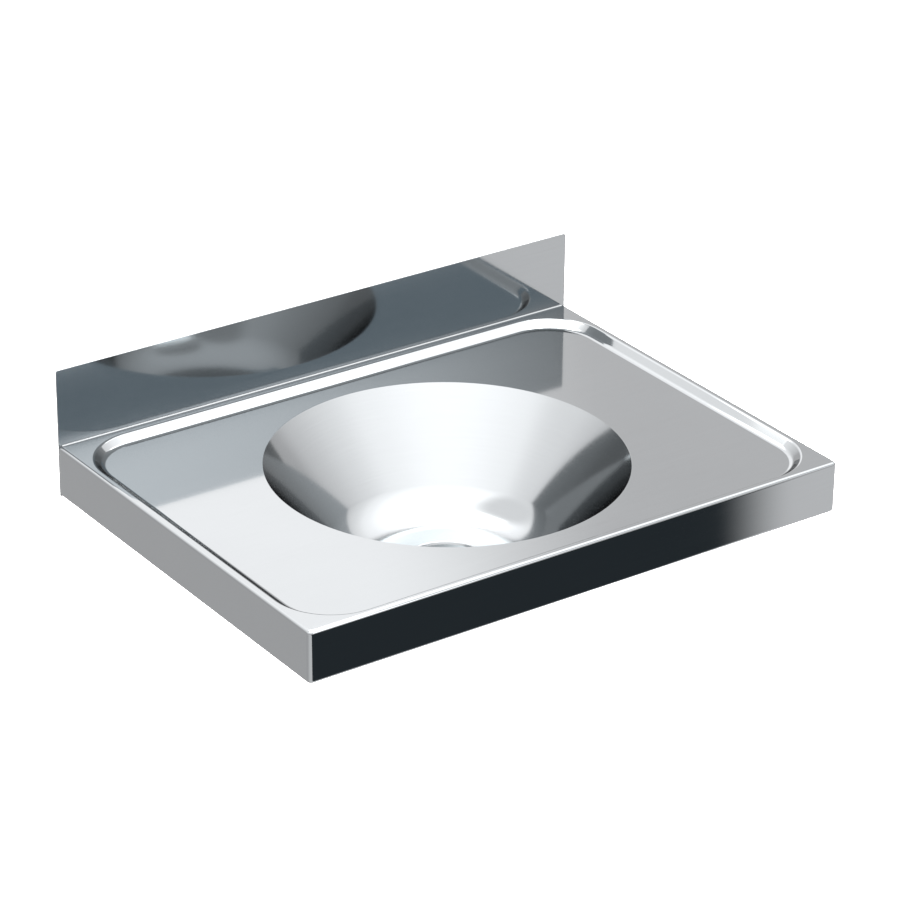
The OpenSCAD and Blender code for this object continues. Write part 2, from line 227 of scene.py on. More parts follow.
def drawLine(name, points):      # a line of edges, each pulled out of the last
    clearAll()
    bpy.ops.mesh.primitive_plane_add(size=0.01, location=(0, 0, 0))
    piece = bpy.context.object
    piece.name = name
    openMesh(piece, "VERT")
    bpy.ops.mesh.merge(type="CENTER")
    bpy.ops.transform.translate(value=Vector(points[0]) * mm)
    for a, b in zip(points, points[1:]):
        step = (Vector(b) - Vector(a)) * mm
        bpy.ops.mesh.extrude_vertices_move(TRANSFORM_OT_translate={"value": step})
    done()
    return piece


# A section in r and z, turned round an upright axis
def lathe(name, loop, steps=192, at=bowlAxis, angle=32, closed=True):
    points = [(at[0] + p[0], at[1], p[1]) for p in loop]
    if closed:
        points.append(points[0])
    piece = drawLine(name, points)
    openMesh(piece)
    bpy.ops.mesh.spin(steps=steps, angle=2 * math.pi, center=(at[0] * mm, at[1] * mm, 0),
        axis=(0, 0, 1))
    done()
    tidyMesh(piece)
    settle(piece, name)
    return smooth(piece, angle=angle)


threadShape = {"foot": 0.44, "flank": 0.40, "crest": 0.07, "sink": 0.15, "weld": 0.001}


def windThread(name, at, thread, low, high):      # a thread ridge wound round an upright core
    t = threadShape      # half widths in shares of the pitch, the rest in mm
    crest, pitch = thread["radius"], thread["pitch"]
    root = crest - thread["depth"]
    foot, flank, tip = t["foot"] * pitch, t["flank"] * pitch, t["crest"] * pitch
    section = [(root - t["sink"], -foot), (root, -flank), (crest, -tip), (crest, tip), (root, flank),
        (root - t["sink"], foot)]
    piece = drawLine(name, [(r, 0, low + pitch / 2 + z) for r, z in section + section[:1]])
    tidyMesh(piece)
    apply(piece, "SCREW", axis="Z", angle=2 * math.pi, screw_offset=pitch * mm,
        iterations=int((high - low) / pitch) - 1, steps=thread["sides"], render_steps=thread["sides"])
    openMesh(piece)
    bpy.ops.mesh.remove_doubles(threshold=t["weld"] * mm)
    bpy.ops.mesh.fill_holes(sides=0)
    done()
    tidyMesh(piece, t["weld"])
    piece.location = (at[0] * mm, at[1] * mm, 0)
    settle(piece, name)
    return smooth(piece, angle=40, weighted=False)


copyValues = {"weld": 0.01, "flatAngle": 0.5, "segments": 2, "sharpAngle": 35}


# A copy of a CAD piece with its sharp edges broken
def fromCad(node, name, width):
    pick(cad[node])
    bpy.ops.object.duplicate()
    piece = bpy.context.object
    bpy.ops.object.parent_clear(type="CLEAR_KEEP_TRANSFORM")
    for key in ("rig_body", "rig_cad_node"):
        if key in piece:
            del piece[key]
    tidyMesh(piece, copyValues["weld"])
    openMesh(piece)
    bpy.ops.mesh.dissolve_limited(angle_limit=math.radians(copyValues["flatAngle"]))
    done()
    settle(piece, name)
    piece.data.materials.clear()
    breakEdges(piece, width, copyValues["segments"], copyValues["sharpAngle"])
    return smooth(piece)


# Deck: pressed tray, rim, folded aprons and the lip under them

deckSizes = {
    "halfWidth": deckHigh[0], "front": deckLow[1], "back": deckHigh[1], "under": deckLow[2],
    "sheet": 1.5, "foldRadius": 3, "cornerRadius": 4.5, "foldSteps": 8, "lip": 14,
    "crestSide": 5.5, "crestFront": 5, "crestBack": 6.5, "crestCorner": 52, "cornerSteps": 32,
    "trayDepth": 6.3, "slope": 42, "crestRadius": 3.5, "footRadius": 7, "slopeSteps": 8,
    "mouth": 150, "mouthSides": 192, "runOn": 30, "lipRunOn": 20,
    "edge": (0.25, 2, 60)}      # bevel width, segments, and the angle from which an edge is sharp


def deckBox():      # rim and aprons, which run on behind the wall plane until they are cut off
    s = deckSizes
    half, front, low = s["halfWidth"], s["front"], s["under"]
    shell = block("deckShell", (-half, front, low), (half, s["runOn"], 0))
    chooseEdges(shell, lambda a, b: abs(a.z - b.z) > near and a.y < front + near)
    bpy.ops.mesh.bevel(offset=s["cornerRadius"] * mm, segments=s["foldSteps"], affect="EDGES")
    chooseEdges(shell, lambda a, b: abs(a.z - b.z) < near)
    bpy.ops.mesh.bevel(offset=s["foldRadius"] * mm, segments=s["foldSteps"], affect="EDGES")
    chooseFaces(shell, lambda c, n: abs(n.z) > square and (c.z > -near or c.z < low + near))
    bpy.ops.mesh.delete(type="ONLY_FACE")
    done()
    return shell


def lipLine():      # the inner edge of the lip
    s = deckSizes
    front, back = s["front"] + s["lip"], s["lipRunOn"]
    clearAll()
    bpy.ops.mesh.primitive_plane_add(size=1, location=(0, (front + back) / 2 * mm, s["under"] * mm))
    line = bpy.context.object
    line.scale = (2 * (s["halfWidth"] - s["lip"]) * mm, (back - front) * mm, 1)
    settle(line, "lipLine")
    chooseFaces(line, lambda c, n: True)
    bpy.ops.mesh.delete(type="ONLY_FACE")
    done()
    return line


def trayRings():      # a rounded rectangle, inset ring by ring down the slope
    s = deckSizes
    front, back = s["front"] + s["crestFront"], s["back"] - s["crestBack"]
    clearAll()
    bpy.ops.mesh.primitive_plane_add(size=1, location=(0, (front + back) / 2 * mm, 0))
    tray = bpy.context.object
    tray.scale = (2 * (s["halfWidth"] - s["crestSide"]) * mm, (back - front) * mm, 1)
    settle(tray, "tray")
    openMesh(tray)
    bpy.ops.mesh.bevel(offset=s["crestCorner"] * mm, segments=s["cornerSteps"], affect="VERTICES")
    bpy.ops.mesh.select_mode(type="FACE")
    bpy.ops.mesh.select_all(action="SELECT")
    slope, depth = math.radians(s["slope"]), s["trayDepth"]
    crest, foot = s["crestRadius"], s["footRadius"]
    straight = (depth - (crest + foot) * (1 - math.cos(slope))) / math.sin(slope)
    run = (crest + foot) * math.sin(slope) + straight * math.cos(slope)
    profile = bendLine([(0, 0), (crest * math.tan(slope / 2), 0),
        (run - foot * math.tan(slope / 2), -depth), (run, -depth)], [0, crest, foot, 0],
        s["slopeSteps"])
    last = Vector((0, 0))
    for point in profile[1:]:
        inward, down = point - last
        if inward < near:
            continue
        bpy.ops.mesh.inset(thickness=inward * mm, depth=down * mm, use_even_offset=True)
        last = point
    bpy.ops.mesh.delete(type="ONLY_FACE")
    done()
    return tray


def buildDeck():
    s = deckSizes
    shell, line, tray = deckBox(), lipLine(), trayRings()
    clearAll()
    bpy.ops.mesh.primitive_circle_add(vertices=s["mouthSides"], radius=s["mouth"] * mm,
        location=(bowlAxis[0] * mm, bowlAxis[1] * mm, -s["trayDepth"] * mm))
    mouth = settle(bpy.context.object, "mouth")
    join(shell, tray, mouth, line)
    for level in (-s["trayDepth"], 0, s["under"]):      # three flats, each filled between two lines
        chooseEdges(shell, lambda a, b: abs(a.z - level) < near and abs(b.z - level) < near)
        bpy.ops.mesh.fill(use_beauty=True)
        done()
    tidyMesh(shell, near)
    openMesh(shell)
    bpy.ops.mesh.bisect(plane_co=(0, s["back"] * mm, 0), plane_no=(0, 1, 0), clear_outer=True)
    done()
    apply(shell, "SOLIDIFY", thickness=s["sheet"] * mm, offset=-1, use_even_offset=True,
        use_quality_normals=True)
    breakEdges(shell, *s["edge"])
    return smooth(shell, angle=35)


deckShell = buildDeck()
print("deck built,", len(deckShell.data.polygons), "faces")


# Splashback: flat sheet with a band and two legs behind the deck, and the coved seam

splashLow, splashHigh = sidesOf("splashback")
splashSizes = {
    "halfWidth": splashHigh[0], "height": splashHigh[2], "under": splashLow[2], "sheet": 1.5,
    "band": 15, "leg": 20, "topCorner": 2, "topSteps": 6, "cove": 1.5, "coveEnd": 252,
    "coveSteps": 10, "edge": (0.3, 3, 50)}


def coveSeam():
    s = splashSizes
    r, y, end, steps = s["cove"], -s["sheet"], s["coveEnd"], s["coveSteps"]
    turns = [math.pi / 2 * k / steps for k in range(steps + 1)]
    loop = [(y - r + r * math.sin(turn), r - r * math.cos(turn)) for turn in turns] + [(y, 0)]
    seam = drawLine("coveSeam", [(-end, a, b) for a, b in loop + loop[:1]])
    tidyMesh(seam)
    openMesh(seam)
    bpy.ops.mesh.edge_face_add()
    bpy.ops.mesh.extrude_region_move(TRANSFORM_OT_translate={"value": (2 * end * mm, 0, 0)})
    done()
    return tidyMesh(seam)


def buildSplash():
    s = splashSizes
    half, top = s["halfWidth"], s["height"]
    panel = block("splashPanel", (-half, -s["sheet"], -s["band"]), (half, 0, top))
    for x in (-half + s["leg"], half - s["leg"]):      # split the lower edge where the legs start
        openMesh(panel)
        bpy.ops.mesh.bisect(plane_co=(x * mm, 0, 0), plane_no=(1, 0, 0))
        done()
    chooseFaces(panel, lambda c, n: n.z < -square and abs(c.x) > half - s["leg"])
    drop = (s["under"] + s["band"]) * mm
    bpy.ops.mesh.extrude_region_move(TRANSFORM_OT_translate={"value": (0, 0, drop)})
    done()
    chooseEdges(panel, lambda a, b: min(a.z, b.z) > top - near and abs(a.x - b.x) < near
        and abs(a.x) > half - near)
    bpy.ops.mesh.bevel(offset=s["topCorner"] * mm, segments=s["topSteps"], affect="EDGES")
    done()
    tidyMesh(panel)
    breakEdges(panel, *s["edge"])
    return smooth(join(panel, coveSeam()), angle=35)


splashPanel = buildSplash()
print("splashback built")


# Bowl: one turned section, from the seat of the waste up to the flange under the tray

bowlLow, bowlHigh = sidesOf("bowl")
bowlSizes = {
    "mouth": deckSizes["mouth"], "flange": 158, "top": bowlHigh[2], "sheet": 1.2, "floorEdge": 80,
    "fall": 3, "floorBend": 55, "mouthBend": 3, "bendSteps": 24, "outlet": 27, "seat": 33.5,
    "seatDepth": 3, "seatSlope": 60, "seatFoot": 1, "seatTop": 1.7}


def bowlCorners():
    s = bowlSizes
    seatZ = bowlLow[2] + s["sheet"]
    floorZ = seatZ + s["seatDepth"]
    seatOut = round(s["seat"] + s["seatDepth"] / math.tan(math.radians(s["seatSlope"])), 3)
    floorEdgeZ = floorZ + (s["floorEdge"] - seatOut) * math.tan(math.radians(s["fall"]))
    wall = math.atan2(s["top"] - floorEdgeZ, s["mouth"] - s["floorEdge"])
    wallTop = s["mouth"] - s["mouthBend"] * math.tan(wall / 2)
    return [(s["outlet"], seatZ), (s["seat"], seatZ), (seatOut, floorZ), (s["floorEdge"], floorEdgeZ),
        (wallTop, s["top"]), (s["flange"], s["top"])]


bowlRadii = [0, bowlSizes["seatFoot"], bowlSizes["seatTop"], bowlSizes["floorBend"],
    bowlSizes["mouthBend"], 0]
bowlShell = lathe("bowlShell", sheetLoop(bowlCorners(), bowlRadii, bowlSizes["bendSteps"],
    bowlSizes["sheet"]))
print("bowl built")


# Ground seam between the tray and the bowl

seamSizes = {      # past the mouth, above and below the tray's face, thickness, and its foot
    "past": 0.28, "lift": 0.003, "drop": 3.35, "back": 1.4, "foot": (0.9, 0.1)}


def coneAt(z):      # inner radius of the bowl's straight wall, carried on past its bend
    (a, low), (b, high) = bowlCorners()[3:5]
    return round(a + (b - a) * (z - low) / (high - low), 2)


def buildMouthSeam():      # its face carries the cone on up to the tray
    s = seamSizes
    tray = -deckSizes["trayDepth"]
    top, low, outer = tray + s["lift"], tray - s["drop"], bowlSizes["mouth"] + s["past"]
    return lathe("mouthSeam", [(outer, top), (coneAt(top), top), (coneAt(low), low),
        (coneAt(low) + s["foot"][0], low + s["foot"][1]), (outer, top - s["back"])])


mouthSeam = buildMouthSeam()


# Waste: grid, screw, seals and body

wasteRadius = 31.5
gridSizes = {
    "flange": wasteRadius, "top": sidesOf("waste_grid")[1][2], "sheet": 1.2, "dishTop": 24,
    "dishFloor": 18, "dishDepth": 3, "bend": 2, "bendSteps": 8, "centreHole": 3.4, "hole": 2.4,
    "rings": [(6, 8.64), (12, 14.58)], "punch": (3, 2), "sides": 96, "holeSides": 32,
    "edge": (0.22, 3, 55)}


def buildGrid():
    s = gridSizes
    dish = s["top"] - s["dishDepth"]
    corners = [(s["centreHole"], dish), (s["dishFloor"], dish), (s["dishTop"], s["top"]),
        (s["flange"], s["top"])]
    plate = lathe("gridPlate", sheetLoop(corners, [0, s["bend"], s["bend"], 0], s["bendSteps"],
        s["sheet"]), steps=s["sides"])
    punches = []
    for count, radius in s["rings"]:
        for i in range(count):
            turn = 2 * math.pi * (i + 1) / count
            at = (bowlAxis[0] + radius * math.cos(turn), bowlAxis[1] + radius * math.sin(turn))
            punches.append(rod("punch", at, s["hole"], dish - s["punch"][0], dish + s["punch"][1],
                s["holeSides"]))
    combine(plate, join(*punches))
    breakEdges(plate, *s["edge"])
    return smooth(plate, angle=35)


gridPlate = buildGrid()
print("grid built")

screwLow, screwHigh = sidesOf("waste_screw")
screwSizes = {
    "head": 5, "top": screwHigh[2], "headHeight": 2.4, "crown": 0.5, "crownShare": 0.62,
    "crownFall": 0.08, "shank": 2.45, "tip": screwLow[2], "taper": (0.4, 0.5), "bendSteps": 5,
    "bends": [0, 0, 0, 0, 0.2, 0.5, 2.5, 0], "sides": 64, "slotWidth": 1.2, "slotDepth": 1.2,
    "slotReach": 6, "slotOver": 1, "threadFrom": 0.4, "threadTo": 1.9}
screwThread = {"radius": 3, "depth": 0.6, "pitch": 1, "sides": 32}


def buildScrew():
    s = screwSizes
    top, under, tip, taper = s["top"], s["top"] - s["headHeight"], s["tip"], s["taper"]
    loop = bendLine([(0, tip), (s["shank"] - taper[0], tip), (s["shank"], tip + taper[1]),
        (s["shank"], under), (s["head"], under), (s["head"], top - s["crown"]),
        (s["head"] * s["crownShare"], top - s["crownFall"]), (0, top)], s["bends"], s["bendSteps"])
    piece = lathe("gridScrew", loop, steps=s["sides"], angle=50, closed=False)
    x, y = bowlAxis
    reach, half = s["slotReach"], s["slotWidth"] / 2
    combine(piece, block("slot", (x - reach, y - half, top - s["slotDepth"]),
        (x + reach, y + half, top + s["slotOver"])))
    smooth(piece, angle=40)
    return join(piece, windThread("thread", bowlAxis, screwThread, tip + s["threadFrom"],
        under - s["threadTo"]))


gridScrew = buildScrew()

sealSizes = {"inner": bowlSizes["outlet"], "outer": wasteRadius, "round": 0.35, "bendSteps": 4,
    "sides": 96}


# Section of a ring with rounded corners, from the middle of its lower face and back to it
def ringLoop(inner, outer, low, high, radii, steps):
    middle = ((inner + outer) / 2, low)
    corners = [middle, (outer, low), (outer, high), (inner, high), (inner, low), middle]
    return bendLine(corners, [0, *radii, 0], steps)[:-1]


def buildSeal(name, node):
    s = sealSizes
    low, high = sidesOf(node)
    loop = ringLoop(s["inner"], s["outer"], low[2], high[2], [s["round"]] * 4, s["bendSteps"])
    return lathe(name, loop, steps=s["sides"])


topSeal = buildSeal("topSeal", "waste_seal_top")
lowSeal = buildSeal("lowSeal", "waste_seal_bottom")

bodyLow, bodyHigh = sidesOf("waste_body")
bodySizes = {
    "flange": wasteRadius, "top": bodyHigh[2], "flangeDepth": 3.5, "neck": 26.5,
    "throat": 23, "throatDepth": 9.5, "tailDepth": 13.5, "collar": 20.9, "collarDrops": (1.2, 2.2),
    "tailRoot": 19.55, "tailEnd": bodyLow[2], "bore": 18.2, "bendSteps": 5, "sides": 128,
    "bends": [0, 0.5, 0.5, 1.5, 0.8, 0.8, 0, 0, 0.3, 0.3, 0.6, 0.6, 0],
    "threadFrom": 0.4, "threadTo": 1.6}
tailThread = {"radius": 20.95, "depth": 1.4, "pitch": 2.309, "sides": 72}
hubSizes = {"radius": 6.5, "height": 13, "hole": 3.1, "drillOver": 2, "spoke": 2.5,
    "spokeHeight": 7, "spokeIn": 0.6, "sides": 48, "edge": (0.4, 3, 50)}


def buildHub(high):      # the hub on its four spokes, which reach into the throat's wall
    s = hubSizes
    low = high - s["height"]
    hub = rod("hub", bowlAxis, s["radius"], low, high, s["sides"])
    reach, half = bodySizes["throat"] + s["spokeIn"], s["spoke"] / 2
    for x, y in ((reach, half), (half, reach)):
        combine(hub, block("arm", (bowlAxis[0] - x, bowlAxis[1] - y, high - s["spokeHeight"]),
            (bowlAxis[0] + x, bowlAxis[1] + y, high)), "UNION")
    combine(hub, rod("drill", bowlAxis, s["hole"], low - s["drillOver"], high + s["drillOver"],
        s["sides"]))
    breakEdges(hub, *s["edge"])
    return smooth(hub, angle=40)


def buildBody():
    s = bodySizes
    top, end = s["top"], s["tailEnd"]
    flangeZ, throatZ, tailZ = (top - s[k] for k in ("flangeDepth", "throatDepth", "tailDepth"))
    corners = [(s["throat"], top), (s["flange"], top), (s["flange"], flangeZ), (s["neck"], flangeZ),
        (s["neck"], throatZ), (s["collar"], tailZ), (s["collar"], tailZ - s["collarDrops"][0]),
        (s["tailRoot"], tailZ - s["collarDrops"][1]), (s["tailRoot"], end), (s["bore"], end),
        (s["bore"], tailZ), (s["throat"], throatZ), (s["throat"], top)]
    loop = bendLine(corners, s["bends"], s["bendSteps"])
    shell = lathe("wasteTail", loop[:-1][::-1], steps=s["sides"])
    return join(shell, buildHub(flangeZ), windThread("tailThread", bowlAxis, tailThread,
        end + s["threadFrom"], tailZ - s["threadTo"]))


wasteTail = buildBody()
print("waste built")


# Hidden pieces under the deck

padSizes = {"gap": 3, "thick": 2.5, "steps": 6, "round": 0.8, "topRound": 0.1, "bendSteps": 5,
    "sides": 144}


def buildPad():      # its upper face follows the underside of the bowl
    s = padSizes
    low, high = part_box("damping_pad")
    outer = (high.x - low.x) / 2 / mm
    inner = bowlCorners()[2][0] + bowlSizes["seatTop"] + s["gap"]
    under = bendLine(bowlCorners(), bowlRadii, bowlSizes["bendSteps"], bowlSizes["sheet"])

    def heightAt(radius):
        for a, b in zip(under[::-1], under[-2::-1]):
            if b.x <= radius <= a.x:
                return b.y + (a.y - b.y) * (radius - b.x) / (a.x - b.x)

    places = [inner + (outer - inner) * k / s["steps"] for k in range(s["steps"] + 1)]
    top = [(p, heightAt(p)) for p in places]
    bottom = [(p, z - s["thick"]) for p, z in top]
    half = s["steps"] // 2      # the loop starts in the middle of the lower face
    corners = bottom[half:] + top[::-1] + bottom[:half + 1]
    first, last = [0] * (s["steps"] - half), [0] * half
    radii = first + [s["round"], s["topRound"]] + [0] * (len(top) - 2)
    radii += [s["topRound"], s["round"]] + last
    return lathe("dampingPad", bendLine(corners, radii, s["bendSteps"])[:-1], steps=s["sides"])


dampingPad = buildPad()

plateLow, plateHigh = sidesOf("stud_plate_right")
washerLow, washerHigh = sidesOf("bracket_washers")
nutLow, nutHigh = sidesOf("bracket_nuts")
fixingSizes = {"x": (plateLow[0] + plateHigh[0]) / 2, "inset": 30}
studSizes = {
    "radius": 3, "top": plateLow[2], "end": sidesOf("weld_studs")[0][2], "taper": (0.5, 0.5),
    "shoulder": (2, 1.6), "sides": 32, "threadFrom": 0.3, "threadTo": 1.2}
studThread = {"radius": studSizes["radius"], "depth": 0.6, "pitch": 1, "sides": 28}
washerSizes = {"hole": 3.4, "radius": 7.5, "bends": [0.3, 0.1, 0.1, 0.2], "bendSteps": 3, "sides": 48}
nutSizes = {
    "across": 10, "hole": 3.1, "holeSides": 32, "tapOver": 1, "faceShare": 0.97, "chamfer": 0.45,
    "chamferOver": 0.1, "sides": 50, "edge": (0.15, 2, 25)}


def studPlaces():
    x, inset = fixingSizes["x"], fixingSizes["inset"]
    return [(a, b) for a in (-x, x) for b in (plateHigh[1] - inset, plateLow[1] + inset)]


def spread(first, name):      # the first one is modelled at the first stud and copied to the rest
    x0, y0 = studPlaces()[0]
    copies = [twin(first, name, (x - x0, y - y0, 0)) for x, y in studPlaces()[1:]]
    return settle(join(first, *copies), name)


def buildStuds():
    s = studSizes
    r, top, end, taper, shoulder = (s[k] for k in ("radius", "top", "end", "taper", "shoulder"))
    root = r - studThread["depth"]
    core = lathe("weldStuds", [(0, end), (root - taper[0], end), (root, end + taper[1]),
        (root, top - shoulder[0]), (r, top - shoulder[1]), (r, top), (0, top)], steps=s["sides"],
        at=studPlaces()[0], closed=False)
    ridge = windThread("thread", studPlaces()[0], studThread, end + s["threadFrom"],
        top - s["threadTo"])
    return spread(join(core, ridge), "studSet")


def buildWashers():
    s = washerSizes
    loop = ringLoop(s["hole"], s["radius"], washerLow[2], washerHigh[2], s["bends"], s["bendSteps"])
    return spread(lathe("washerSet", loop, steps=s["sides"], at=studPlaces()[0]), "washerSet")


def buildNuts():
    s = nutSizes
    at, low, high = studPlaces()[0], nutLow[2], nutHigh[2]
    corner = s["across"] / 2 / math.cos(math.pi / 6)
    face, wide = s["across"] / 2 * s["faceShare"], corner + s["chamferOver"]
    nut = rod("nutSet", at, corner, low, high, sides=6, turn=30)
    combine(nut, lathe("chamfer", [(0, low), (face, low), (wide, low + s["chamfer"]),
        (wide, high - s["chamfer"]), (face, high), (0, high)], steps=s["sides"], at=at,
        closed=False), "INTERSECT")
    combine(nut, rod("tap", at, s["hole"], low - s["tapOver"], high + s["tapOver"], s["holeSides"]))
    breakEdges(nut, *s["edge"])
    smooth(nut, angle=25)
    return spread(nut, "nutSet")


studSet = buildStuds()
washerSet = buildWashers()
nutSet = buildNuts()
bracketLeft = fromCad("bracket_left", "bracketLeft", width=0.35)
bracketRight = fromCad("bracket_right", "bracketRight", width=0.35)
plateLeft = fromCad("stud_plate_left", "plateLeft", width=0.3)
plateRight = fromCad("stud_plate_right", "plateRight", width=0.3)
tagPiece = fromCad("bonding_tag", "tagPiece", width=0.2)
print("fixings built")


# Shader nodes and the grain groups that the finishes share

noiseBand = (0.3, 0.7)      # where most values of a noise lie


def mathNode(tree, operation, a, b=None):
    node = tree.nodes.new("ShaderNodeMath")
    node.operation = operation
    for slot, value in enumerate((a, b)):
        if value is None:
            continue
        if isinstance(value, (int, float)):
            node.inputs[slot].default_value = value
        else:
            tree.links.new(value, node.inputs[slot])
    return node.outputs[0]


def noiseNode(tree, vector, scale, detail, roughness):
    node = tree.nodes.new("ShaderNodeTexNoise")
    node.inputs["Detail"].default_value = detail
    node.inputs["Roughness"].default_value = roughness
    tree.links.new(vector, node.inputs["Vector"])
    if isinstance(scale, (int, float)):
        node.inputs["Scale"].default_value = scale
    else:
        tree.links.new(scale, node.inputs["Scale"])
    return node.outputs["Fac"]


def rangeNode(tree, value, low, high, toLow=0.0, toHigh=1.0, kind="LINEAR"):
    node = tree.nodes.new("ShaderNodeMapRange")
    node.interpolation_type = kind
    tree.links.new(value, node.inputs["Value"])
    for label, number in (("From Min", low), ("From Max", high), ("To Min", toLow), ("To Max", toHigh)):
        node.inputs[label].default_value = number
    return node.outputs["Result"]


grainSizes = {"fineness": 900.0, "stretch": 0.02, "ring": 0.0025, "lines": (2, 0.7),
    "cloud": (14, 3, 0.55)}


def newGrain(name):      # object coordinates and a fineness in, polishing lines and clouds out
    tree = bpy.data.node_groups.new(name, "ShaderNodeTree")
    tree.interface.new_socket("Vector", in_out="INPUT", socket_type="NodeSocketVector")
    fineness = tree.interface.new_socket("Fineness", in_out="INPUT", socket_type="NodeSocketFloat")
    fineness.default_value = grainSizes["fineness"]
    for label in ("Lines", "Cloud"):
        tree.interface.new_socket(label, in_out="OUTPUT", socket_type="NodeSocketFloat")
    return tree, tree.nodes.new("NodeGroupInput"), tree.nodes.new("NodeGroupOutput")


def finishGrain(tree, ins, outs, stretched):
    lines = noiseNode(tree, stretched, ins.outputs["Fineness"], *grainSizes["lines"])
    cloud = noiseNode(tree, ins.outputs["Vector"], *grainSizes["cloud"])
    tree.links.new(lines, outs.inputs["Lines"])
    tree.links.new(cloud, outs.inputs["Cloud"])
    return tree


def makePolishGrain():      # fine straight polishing lines along X
    tree, ins, outs = newGrain("polishGrain")
    stretch = tree.nodes.new("ShaderNodeVectorMath")
    stretch.operation = "MULTIPLY"
    stretch.inputs[1].default_value = (grainSizes["stretch"], 1.0, 1.0)
    tree.links.new(ins.outputs["Vector"], stretch.inputs[0])
    return finishGrain(tree, ins, outs, stretch.outputs[0])


def makeTurnedGrain():      # fine polishing rings round the Z axis
    tree, ins, outs = newGrain("turnedGrain")
    split = tree.nodes.new("ShaderNodeSeparateXYZ")
    tree.links.new(ins.outputs["Vector"], split.inputs[0])
    x, y, z = split.outputs
    flat = mathNode(tree, "ADD", mathNode(tree, "POWER", x, 2), mathNode(tree, "POWER", y, 2))
    turn = mathNode(tree, "ARCTAN2", y, x)
    across = mathNode(tree, "MULTIPLY", mathNode(tree, "COSINE", turn), grainSizes["ring"])
    along = mathNode(tree, "MULTIPLY", mathNode(tree, "SINE", turn), grainSizes["ring"])
    merge = tree.nodes.new("ShaderNodeCombineXYZ")
    tree.links.new(across, merge.inputs[0])
    tree.links.new(mathNode(tree, "SQRT", flat), merge.inputs[1])
    tree.links.new(mathNode(tree, "ADD", z, along), merge.inputs[2])
    return finishGrain(tree, ins, outs, merge.outputs[0])


grainGroups = {"straight": makePolishGrain(), "turned": makeTurnedGrain()}


def newFinish(name):
    material = bpy.data.materials.new(name)
    material.use_nodes = True
    return material, material.node_tree, material.node_tree.nodes["Principled BSDF"]


# Colour from the tone, roughness from the gloss and bump from the height
def dressShader(tree, shader, look, tone, gloss, height):
    ramp = tree.nodes.new("ShaderNodeValToRGB")
    for element, place, key in zip(ramp.color_ramp.elements, noiseBand, ("dark", "light")):
        element.position = place
        element.color = (*look[key], 1)
    tree.links.new(tone, ramp.inputs["Fac"])
    tree.links.new(ramp.outputs["Color"], shader.inputs["Base Color"])
    tree.links.new(rangeNode(tree, gloss, *noiseBand, *look["roughness"]), shader.inputs["Roughness"])
    bump = tree.nodes.new("ShaderNodeBump")
    bump.inputs["Strength"].default_value = look["bump"]
    bump.inputs["Distance"].default_value = look["bumpDepth"]
    tree.links.new(height, bump.inputs["Height"])
    tree.links.new(bump.outputs["Normal"], shader.inputs["Normal"])


# A steel or plated finish with polishing lines, tone drift and uneven gloss
def steelFinish(name, look, centre=(0, 0, 0)):
    material, tree, shader = newFinish(name)
    shader.inputs["Metallic"].default_value = 1.0
    coords = tree.nodes.new("ShaderNodeTexCoord")
    place = tree.nodes.new("ShaderNodeMapping")
    place.inputs["Location"].default_value = [-v for v in centre]
    tree.links.new(coords.outputs["Object"], place.inputs["Vector"])
    grain = tree.nodes.new("ShaderNodeGroup")
    grain.node_tree = grainGroups[look["grain"]]
    grain.inputs["Fineness"].default_value = look["fineness"]
    tree.links.new(place.outputs["Vector"], grain.inputs["Vector"])
    lines = mathNode(tree, "MULTIPLY", grain.outputs["Lines"], look["lineShare"])
    cloud = mathNode(tree, "MULTIPLY", grain.outputs["Cloud"], 1 - look["lineShare"])
    mixed = mathNode(tree, "ADD", lines, cloud)
    dressShader(tree, shader, look, mixed, mixed, grain.outputs["Lines"])
    return material


def rubberFinish(name, look):
    material, tree, shader = newFinish(name)
    coords = tree.nodes.new("ShaderNodeTexCoord")
    fine = noiseNode(tree, coords.outputs["Object"], look["fineness"], detail=4, roughness=0.6)
    broad = noiseNode(tree, coords.outputs["Object"], look["cloud"], detail=3, roughness=0.5)
    dressShader(tree, shader, look, broad, fine, fine)
    return material


bowlPlace = (bowlAxis[0] * mm, bowlAxis[1] * mm, 0)
sheetLook = {
    "grain": "straight", "dark": (0.415, 0.443, 0.46), "light": (0.43, 0.46, 0.477),
    "roughness": (0.06, 0.085), "fineness": 900, "lineShare": 0.6, "bump": 0.015,
    "bumpDepth": 0.00002}
bowlLook = dict(sheetLook, grain="turned", roughness=(0.1, 0.13))
polishedLook = dict(sheetLook, grain="turned", roughness=(0.04, 0.08), fineness=1300, bump=0.03)
brassLook = dict(sheetLook, grain="turned", dark=(0.48, 0.475, 0.455), light=(0.54, 0.535, 0.515),
    roughness=(0.09, 0.2), fineness=500, bump=0.08)
millLook = dict(sheetLook, dark=(0.30, 0.31, 0.32), light=(0.42, 0.43, 0.44), roughness=(0.28, 0.5),
    fineness=260, lineShare=0.35, bump=0.25, bumpDepth=0.00004)
fixingLook = dict(sheetLook, dark=(0.40, 0.41, 0.42), light=(0.50, 0.51, 0.52),
    roughness=(0.18, 0.34), fineness=420, bump=0.15)
sealLook = {
    "dark": (0.012, 0.012, 0.013), "light": (0.03, 0.03, 0.032), "roughness": (0.5, 0.7),
    "fineness": 1500, "cloud": 60, "bump": 0.25, "bumpDepth": 0.0002}
padLook = dict(sealLook, dark=(0.02, 0.02, 0.021), light=(0.05, 0.05, 0.052),
    roughness=(0.75, 0.95), fineness=700, bump=0.6)
satinSheet = steelFinish("satinSheet", sheetLook)
satinBowl = steelFinish("satinBowl", bowlLook, bowlPlace)
polishedGrid = steelFinish("polishedGrid", polishedLook, bowlPlace)
platedBrass = steelFinish("platedBrass", brassLook, bowlPlace)
millSteel = steelFinish("millSteel", millLook)
